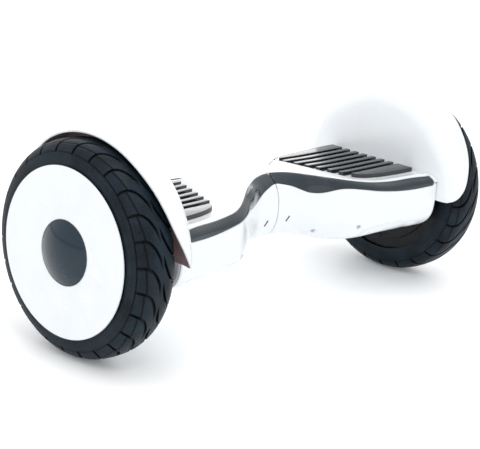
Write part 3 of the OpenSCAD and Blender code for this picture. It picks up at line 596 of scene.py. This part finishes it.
# trim bands with their lamp lenses
def bandRelief(point, d, total):
    k = clamp01(d / total)
    bowl = 4 * k * (1 - k)
    lens = lampBulge(point.x)
    return band["hollow"] * bowl * (1 - lens) - band["lampRise"] * lens * bowl + 0.25 - brow(point)


def bandTurns(facing):
    def turns(x):
        if x < 1.5 or x > band["end"]:
            return None, None
        high = bandTopTurn(x, facing)
        low = bandLowTurn(x)
        trim = band["gap"] / halfDepth(x)
        if facing < 0:
            return math.pi - low - trim, math.pi - high + trim
        return high - trim, low + trim
    return turns


for facing, where in ((-1, "Front"), (1, "Rear")):
    bandLines = patchPlacer(bandTurns(facing), 16, 0.8, bandRelief)
    for name, side in sides.items():
        bm = patchMesh(bandLines)
        for face in bm.faces:
            x = face.calc_center_median().x
            face.material_index = 1 if abs(x - band["lampX"]) < band["lampHalf"] else 0
        piece = finishPiece(bm, f"{name}{where}Trim", f"{name}_half", [f"{name}_{where.lower()}_trim"],
                            [trimGloss, lampLens], side)
        thicken(piece, band["thick"])
print("bands ready")


# foot pads
def padBlock(plan):
    # a block over the plan, standing through its opening in the deck
    bm = bmesh.new()
    foot = bm.faces.new([bm.verts.new((x, y, -pad["root"])) for x, y in plan])
    top = bmesh.ops.extrude_face_region(bm, geom=[foot])
    raised = [v for v in top["geom"] if isinstance(v, bmesh.types.BMVert)]
    bmesh.ops.translate(bm, vec=(0, 0, pad["rise"] + pad["root"]), verts=raised)
    bmesh.ops.recalc_face_normals(bm, faces=bm.faces)
    rim = [e for e in bm.edges if all(v.co.z > pad["rise"] - 0.01 for v in e.verts)]
    bmesh.ops.bevel(bm, geom=rim, offset=pad["round"], affect="EDGES", segments=3, profile=0.5, material=-1)
    for k in range(1, 9):
        bmesh.ops.bisect_plane(bm, geom=bm.verts[:] + bm.edges[:] + bm.faces[:],
                               plane_co=(100 + 7.5 * k, 0, 0), plane_no=(1, 0, 0))
    for corner in bm.verts:
        corner.co.z += bedZ(corner.co.x)
    return bm


for name, side in sides.items():
    plans = [barOutline(i, 0) for i in range(pad["bars"])] + [crescentOutline(-1, 0), crescentOutline(1, 0)]
    bm = joined([padBlock(plan) for plan in plans])
    finishPiece(bm, f"{name}FootPad", f"{name}_pad", [f"{name}_foot_pad"], [padRubber],
                side, 40, 0)
print("foot pads ready")


# fenders
fender = {"inner": 246.3, "radius": 138.0, "round": 27.0, "low": 131.5, "hole": 28.0, "thick": 2.5,
          "lipRound": 0.7}
# how far out the lip stands at each height
fenderLip = [(128, 246.8), (131.5, 249.0), (134, 253.5), (137.5, 258.0), (142, 262.0), (151, 268.5),
             (160, 273.4), (170, 278.2), (184, 283.8), (201, 288.6), (221, 293.2), (245, 298.4),
             (269, 301.0)]


def fenderProfile():
    # (x, radius) from the hole at the axle out over the round corner to the top of the rim
    inner, radius, corner = fender["inner"], fender["radius"], fender["round"]
    line = [(inner, mix(fender["hole"], radius - corner, k / 20)) for k in range(21)]
    for k in range(1, 17):
        a = math.radians(90 * k / 16)
        line.append((inner + corner * (1 - math.cos(a)), radius - corner * (1 - math.sin(a))))
    line += [(inner + corner + 1.2 * k, radius) for k in range(1, 28)]
    return line


def fenderTurn(radius, u):
    start = math.asin((fender["low"] - axleZ) / radius)
    return mix(start, math.pi - start, u)


def fenderPoint(x, radius, u):
    turn = fenderTurn(radius, u)
    return Vector((x, -radius * math.cos(turn), axleZ + radius * math.sin(turn)))


def fenderMesh():
    profile = fenderProfile()
    columns, rows = 160, 64
    lines = []
    for i in range(columns + 1):
        u = i / columns
        kept = []
        for (x0, r0), (x1, r1) in zip(profile, profile[1:]):
            a = fenderPoint(x0, r0, u)
            b = fenderPoint(x1, r1, u)
            kept.append(a)
            before = readTable(fenderLip, a.z) - a.x
            after = readTable(fenderLip, b.z) - b.x
            if after <= 0 < before:
                kept.append(a.lerp(b, before / (before - after)))
                break
        run = [0.0]
        for a, b in zip(kept, kept[1:]):
            run.append(run[-1] + (b - a).length)
        line = []
        at = 0
        for j in range(rows + 1):
            d = run[-1] * j / rows
            while at < len(run) - 2 and run[at + 1] < d:
                at += 1
            k = (d - run[at]) / max(1e-9, run[at + 1] - run[at])
            line.append(kept[at].lerp(kept[at + 1], clamp01(k)))
        lines.append(line)
    return sheet(columns, rows, lambda i, j: lines[i][j])


for name, side in sides.items():
    bm = fenderMesh()
    bmesh.ops.reverse_faces(bm, faces=bm.faces)
    piece = finishPiece(bm, f"{name}Fender", f"{name}_half", [f"{name}_fender"],
                        [whiteAbs, fenderShadeLining], side, 60)
    # the inner faces take the lining colour, painted shade for the wheel's shadow
    thicken(piece, fender["thick"], fender["lipRound"], 1)
print("fenders ready")


# tyres
tyre = {"half": 31.0, "bead": 96.5, "crown": 130.0, "full": 2.8, "pitches": 26, "shoulder": 61.5,
        "sweep": 36.0, "bend": 3.2, "grooveHalf": 1.55, "deep": 3.0, "rimCut": 1.3}


def crownRadius(dx):
    k = max(0.0, 1 - (abs(dx) / tyre["half"]) ** tyre["full"])
    return tyre["bead"] + (tyre["crown"] - tyre["bead"]) * k ** (1 / tyre["full"])


def tyreRows():
    # (dx, radius, t, half): t runs from 0 at a shoulder to 1 at the middle, half is 1 outside and -1 inside
    rows = [(22.5, 92.6, -1, 1), (23.0, 98.0, -1, 1), (27.5, 98.0, -1, 1), (30.2, 97.6, -1, 1)]
    for degrees in (86, 82, 79.5, 78.5, 77, 76, 74, 71, 68.2):
        dx = tyre["half"] * math.sin(math.radians(degrees))
        rows.append((dx, crownRadius(dx) + (0.7 if degrees in (78.5, 77) else 0.0), -1, 1))
    steps = [-0.075, -0.06, -0.02, -0.005, 0.03, 0.08, 0.14, 0.2, 0.26, 0.32, 0.38, 0.44, 0.5, 0.56, 0.62,
             0.68, 0.74, 0.8, 0.85, 0.89, 0.925, 0.95, 0.975]
    for t in steps:
        dx = tyre["half"] * math.sin(math.radians(tyre["shoulder"] * (1 - t)))
        cut = tyre["rimCut"] if t in (-0.06, -0.02) else 0.0
        rows.append((dx, crownRadius(dx) - cut, t, 1))
    rows.append((0.0, crownRadius(0.0), 1.0, 0))
    rows += [(-dx, r, t, -1) for dx, r, t, half in reversed(rows[:-1])]
    rows.append((rows[0][0], rows[0][1], -1, 1))
    return rows


tyreLines = tyreRows()
tyreColumns = 16
tyreStep = 360 / tyre["pitches"]
pitchLength = math.radians(tyreStep) * tyre["crown"]


def tyreSweep(t, half):
    run = tyre["sweep"] * clamp01(t) ** tyre["bend"]
    return run if half >= 0 else 2 * tyre["sweep"] - run


def tyreColumn(k, t):
    # place of column k within one pitch: five columns hug each groove, three fill each block
    slant = math.sqrt(1 + (tyre["sweep"] * tyre["bend"] * clamp01(t) ** (tyre["bend"] - 1) / 31) ** 2)
    h = tyre["grooveHalf"] * slant
    e = 0.3 * slant
    hug = [-h - e, -h, 0.0, h, h + e]
    part, step = divmod(k, 8)
    start = part * pitchLength / 2
    if step < 5:
        return start + hug[step]
    free = pitchLength / 2 - 2 * (h + e)
    return start + h + e + free * (step - 4) / 4


def grooveDepth(k, t, half):
    part, step = divmod(k % tyreColumns, 8)
    if half == 0 or step not in (1, 2, 3):
        return 0.0
    if (part == 0) != (half > 0):
        return 0.0
    return tyre["deep"] * ease((t + 0.035) / 0.05) * (1 - ease((t - 0.9) / 0.07))


def tyrePlace(i, j):
    dx, radius, t, half = tyreLines[j]
    pitchIndex, k = divmod(i, tyreColumns)
    along = pitchIndex * pitchLength + tyreColumn(k, t) + tyreSweep(t, half)
    turn = along / tyre["crown"]
    r = radius - grooveDepth(i, t, half)
    return Vector((wheelX + dx, -r * math.sin(turn), axleZ + r * math.cos(turn)))


def tyreUv(i, j):
    dx, radius, t, half = tyreLines[j]
    pitchIndex, k = divmod(i, tyreColumns)
    share = (pitchIndex * pitchLength + tyreColumn(k, t)) / pitchLength
    return (share if half >= 0 else share + 0.5, clamp01(t) if t > -0.5 else 3.0)


tyreCount = tyre["pitches"] * tyreColumns
for name, side in sides.items():
    bm = sheet(tyreCount, len(tyreLines) - 1, tyrePlace, tyreUv)
    # how deep each point lies in a groove, kept as the tyre material's mask for painted shade
    depthLayer = bm.verts.layers.float.new("groove")
    for corner in bm.verts:
        dx = corner.co.x - wheelX
        r = math.hypot(corner.co.y, corner.co.z - axleZ)
        if abs(dx) < 29.5:
            corner[depthLayer] = clamp01((crownRadius(dx) - r - 0.4) / 0.8)
    bmesh.ops.remove_doubles(bm, verts=bm.verts, dist=0.01)
    bmesh.ops.recalc_face_normals(bm, faces=bm.faces)
    finishPiece(bm, f"{name}Tyre", f"{name}_wheel", [f"{name}_tyre"], [tyreRubber], side, 38, 0)
print("tyres ready")


# wheel caps and domes
cap = {"back": 330.8, "dome": 39.2, "rise": 10.5, "ribs": 10, "ribHigh": 0.8}
outline = [(331.0 + 2.4 * (k / 24) ** 2, mix(36.2, 98.8, k / 24)) for k in range(25)]
outline += [(333.75, 99.9), (333.95, 100.6), (333.8, 101.2), (333.3, 101.65), (332.6, 101.8),
            (331.9, 101.8), (331.0, 100.4)]
outline += [(328.9 + 2.0 * k * k, mix(36.2, 98.0, k)) for k in (1.0, 0.75, 0.5, 0.25, 0.0)]
domeBase = cap["back"] + 0.4
ballRadius = (cap["dome"] ** 2 + cap["rise"] ** 2) / (2 * cap["rise"])
domeTurn = math.asin(cap["dome"] / ballRadius)
domeOutline = []
for k in range(29):
    a = domeTurn * k / 28
    high = domeBase + cap["rise"] - ballRadius + ballRadius * math.cos(a)
    domeOutline.append((high, ballRadius * math.sin(a)))
domeOutline[-1] = (domeBase + 0.45, cap["dome"] - 0.12)
domeOutline += [(domeBase + 0.1, cap["dome"]), (domeBase - 0.3, cap["dome"] - 0.3),
                (domeBase - 0.6, cap["dome"] - 2)]
domeOutline += [(domeBase - 0.6, 20.0), (domeBase - 0.6, 0.0)]
for name, side in sides.items():
    bm = lathe(outline, 240)
    for corner in bm.verts:
        y, z = corner.co.y, corner.co.z - axleZ
        r = math.hypot(y, z)
        if corner.co.x > 330.9 and 42 < r < 97:
            spoke = math.degrees(math.atan2(z, y)) % (360 / cap["ribs"]) - 180 / cap["ribs"]
            width = math.radians(abs(spoke)) * r / 2.6
            fade = ease((r - 42) / 12) * ease((97 - r) / 14)
            corner.co.x += cap["ribHigh"] * math.exp(-width * width) * fade
    finishPiece(bm, f"{name}WheelCap", f"{name}_wheel", [f"{name}_wheel_cap"], [whiteAbs],
                side, 45)
    bm = lathe(domeOutline, 160, False)
    finishPiece(bm, f"{name}DomeCap", f"{name}_wheel", [f"{name}_dome_cap"], [domeAcrylic],
                side, 45)
print("caps ready")


# small parts of the shells
indicator = {"x": 21.0, "z": 123.0, "wide": 3.0, "tall": 9.0, "lean": 35.0, "tip": 12.0,
             "proud": 0.25}
for name, side in sides.items():
    turn = turnAtHeight(indicator["x"], indicator["z"])
    seat = sectionPoint(indicator["x"], -math.pi - turn)
    bm = bmesh.new()
    bmesh.ops.create_cube(bm, size=1.0)
    bmesh.ops.scale(bm, vec=(indicator["wide"], 2.4, indicator["tall"]), verts=bm.verts)
    bmesh.ops.bevel(bm, geom=bm.edges[:], offset=0.5, affect="EDGES", segments=3, profile=0.5, material=-1)
    lean = Matrix.Rotation(math.radians(indicator["lean"] * side), 3, "Y")
    bmesh.ops.rotate(bm, cent=(0, 0, 0), matrix=lean, verts=bm.verts)
    tip = Matrix.Rotation(math.radians(indicator["tip"]), 3, "X")
    bmesh.ops.rotate(bm, cent=(0, 0, 0), matrix=tip, verts=bm.verts)
    bmesh.ops.translate(bm, vec=(seat.x, seat.y + 1.2 - indicator["proud"], seat.z), verts=bm.verts)
    finishPiece(bm, f"{name}IndicatorWindow", f"{name}_half", [f"{name}_indicator_window"],
                [smokedWindow], side, 40, 0)

bezel = {"hole": 8.25, "outer": 12.4, "proud": 1.1, "deep": 4.0}


def bezelRing(x, z, surface):
    # a collar round an opening in the rear wall, turned about Y and leant with the wall
    hole, outer, proud, deep = bezel["hole"], bezel["outer"], bezel["proud"], bezel["deep"]
    profile = [(hole, -deep), (hole, proud - 0.5), (hole + 0.5, proud), (outer - 1.6, proud),
               (outer - 0.5, proud - 0.6), (outer, proud - 1.6), (outer, -deep)]
    bm = bmesh.new()
    line = [bm.verts.new((r, d, 0)) for r, d in profile]
    edges = [bm.edges.new((a, b)) for a, b in zip(line, line[1:] + line[:1])]
    bmesh.ops.spin(bm, geom=line + edges, cent=(0, 0, 0), axis=(0, 1, 0), angle=2 * math.pi, steps=64,
                   use_merge=True, use_duplicate=False)
    bmesh.ops.remove_doubles(bm, verts=bm.verts, dist=0.002)
    bmesh.ops.recalc_face_normals(bm, faces=bm.faces)
    lean = math.atan((halfDepth(x + 5) - halfDepth(x - 5)) / 10)
    bmesh.ops.rotate(bm, cent=(0, 0, 0), matrix=Matrix.Rotation(lean, 3, "Z"), verts=bm.verts)
    bmesh.ops.translate(bm, vec=(x, surface, z), verts=bm.verts)
    return bm


for label, spot in (("socketBezel", socketAt), ("buttonBezel", buttonAt)):
    surface = sectionPoint(spot[0], turnAtHeight(spot[0], spot[1])).y
    bm = bezelRing(spot[0], spot[1], surface)
    finishPiece(bm, label, "right_half", [], [finishes["socket"]], 1, 40, 0)

# pan heads at the bottom of the recesses
screw = {"radius": 2.6, "tall": 1.6, "round": 0.5, "slotIn": 0.9, "slotDeep": 0.5}
for name, side in sides.items():
    heads = []
    for rx, rz in recesses:
        for facing in (-1, 1):
            turn = turnAtHeight(rx, rz)
            if facing < 0:
                turn = -math.pi - turn
            seat = sectionPoint(rx, turn)
            near = sectionPoint(rx, turn + 0.02)
            flow = (near - seat).normalized()
            outward = Vector((0, flow.z, -flow.y)) * (1 if seat.y * flow.z > 0 else -1)
            head = bmesh.new()
            bmesh.ops.create_cone(head, cap_ends=True, segments=32, radius1=screw["radius"],
                                  radius2=screw["radius"], depth=screw["tall"])
            rim = [e for e in head.edges if all(v.co.z > 0.7 for v in e.verts)]
            bmesh.ops.bevel(head, geom=rim, offset=screw["round"], affect="EDGES", segments=3, profile=0.5,
                            material=-1)
            top = max(head.faces, key=lambda f: f.calc_center_median().z)
            bmesh.ops.inset_region(head, faces=[top], thickness=screw["slotIn"], depth=-screw["slotDeep"])
            facingOut = outward.to_track_quat("Z", "Y").to_matrix().to_4x4()
            bmesh.ops.transform(head, matrix=facingOut, verts=head.verts)
            bmesh.ops.translate(head, vec=seat - outward * (belly["recessDeep"] - 0.5), verts=head.verts)
            heads.append(head)
    finishPiece(joined(heads), f"{name}ScrewHeads", f"{name}_half", [],
                [finishes["bearing_steel"]], side, 40, 0)
print("small parts ready")


# the frame's own nodes get the finish of their slot
finishes.update({"white_shell": whiteAbs, "trim": trimGloss, "pad_rubber": padRubber,
                 "smoked_window": smokedWindow, "tyre": finishes["cable_jacket"], "dome_gloss": domeAcrylic})
slotOf = {entry["node"]: entry["material_slot"] for entry in frame["record"]["subparts"]}
for nodeName, node in frame["nodes"].items():
    for holder in node.material_slots:
        holder.material = finishes[slotOf[nodeName]]
print("frame dressed")


# floor, light and camera
studio = {"floor": "#FFFFFF", "floorHalf": 45.0, "glow": "#E6F4FF", "glowPower": 0.1, "sky": 1.04,
          "tentEnd": 0.06, "keyPower": 7.0, "rimPower": 7.0, "panelPower": 8.5, "fillPower": 2.0}
bm = bmesh.new()
bmesh.ops.create_grid(bm, x_segments=4, y_segments=4, size=studio["floorHalf"])
floorMesh = bpy.data.meshes.new("floor")
bm.to_mesh(floorMesh)
bm.free()
floor = bpy.data.objects.new("floor", floorMesh)
bpy.context.scene.collection.objects.link(floor)
# the floor: a roll of matt background paper
paper, shader = startMaterial("whitePaper", Roughness=0.6)
shader.inputs["Base Color"].default_value = rgb(studio["floor"])
shader.inputs["Specular IOR Level"].default_value = 0.2
shader.inputs["Emission Color"].default_value = rgb(studio["glow"])
shader.inputs["Emission Strength"].default_value = studio["glowPower"]  # a sweep lit from behind
floorMesh.materials.append(paper)

world = bpy.data.worlds.new("studio")
world.use_nodes = True
world.node_tree.nodes["Background"].inputs["Strength"].default_value = studio["sky"]
# the white tent ends low down, so glossy pieces mirror a soft dark line at the horizon
direction = world.node_tree.nodes.new("ShaderNodeTexCoord")
split = world.node_tree.nodes.new("ShaderNodeSeparateXYZ")
tent = world.node_tree.nodes.new("ShaderNodeValToRGB")
tent.color_ramp.elements[0].position = 0.0
tent.color_ramp.elements[0].color = (0.5, 0.54, 0.57, 1.0)
tent.color_ramp.elements[1].position = studio["tentEnd"]
tent.color_ramp.elements[1].color = (1.0, 1.0, 1.0, 1.0)
world.node_tree.links.new(direction.outputs["Generated"], split.inputs[0])
world.node_tree.links.new(split.outputs["Z"], tent.inputs["Fac"])
world.node_tree.links.new(tent.outputs["Color"], world.node_tree.nodes["Background"].inputs["Color"])
bpy.context.scene.world = world


def softBox(name, place, target, size, power):
    light = bpy.data.lights.new(name, "AREA")
    light.shape = "RECTANGLE"
    light.size, light.size_y = size
    light.energy = power
    lamp = bpy.data.objects.new(name, light)
    lamp.location = place
    lamp.rotation_euler = (Vector(target) - Vector(place)).to_track_quat("-Z", "Y").to_euler()
    bpy.context.scene.collection.objects.link(lamp)


softBox("keyBox", (-1.2, -1.6, 2.4), (0, 0, 0.1), (0.6, 0.45), studio["keyPower"])
softBox("backBox", (1.4, 1.8, 1.8), (0, 0, 0.1), (1.4, 1.0), studio["rimPower"])
softBox("lowPanel", (1.8, 1.65, 0.85), (-0.18, 0, 0.17), (1.4, 0.9), studio["panelPower"])
softBox("fillBox", (-0.3, -0.15, 1.1), (0.25, 0, 0.2), (0.5, 0.5), studio["fillPower"])

viewer = {"place": (-1.4414, -1.2458, 0.6843), "right": (0.6790, -0.7293, 0.0841),
          "up": (0.1581, 0.2572, 0.9533), "sensor": 36.0, "focal": 114.53, "near": 0.05, "far": 120.0}
lens = bpy.data.cameras.new("camera")
lens.sensor_width = viewer["sensor"]
lens.lens = viewer["focal"]
lens.clip_start = viewer["near"]
lens.clip_end = viewer["far"]
camera = bpy.data.objects.new("camera", lens)
right = Vector(viewer["right"]).normalized()
up = Vector(viewer["up"])
up = (up - right * up.dot(right)).normalized()
back = right.cross(up)
turned = Matrix((right, up, back)).transposed().to_4x4()
camera.matrix_world = Matrix.Translation(viewer["place"]) @ turned
bpy.context.scene.collection.objects.link(camera)
bpy.context.scene.camera = camera
bpy.context.scene.view_settings.view_transform = "Standard"
print("studio ready")
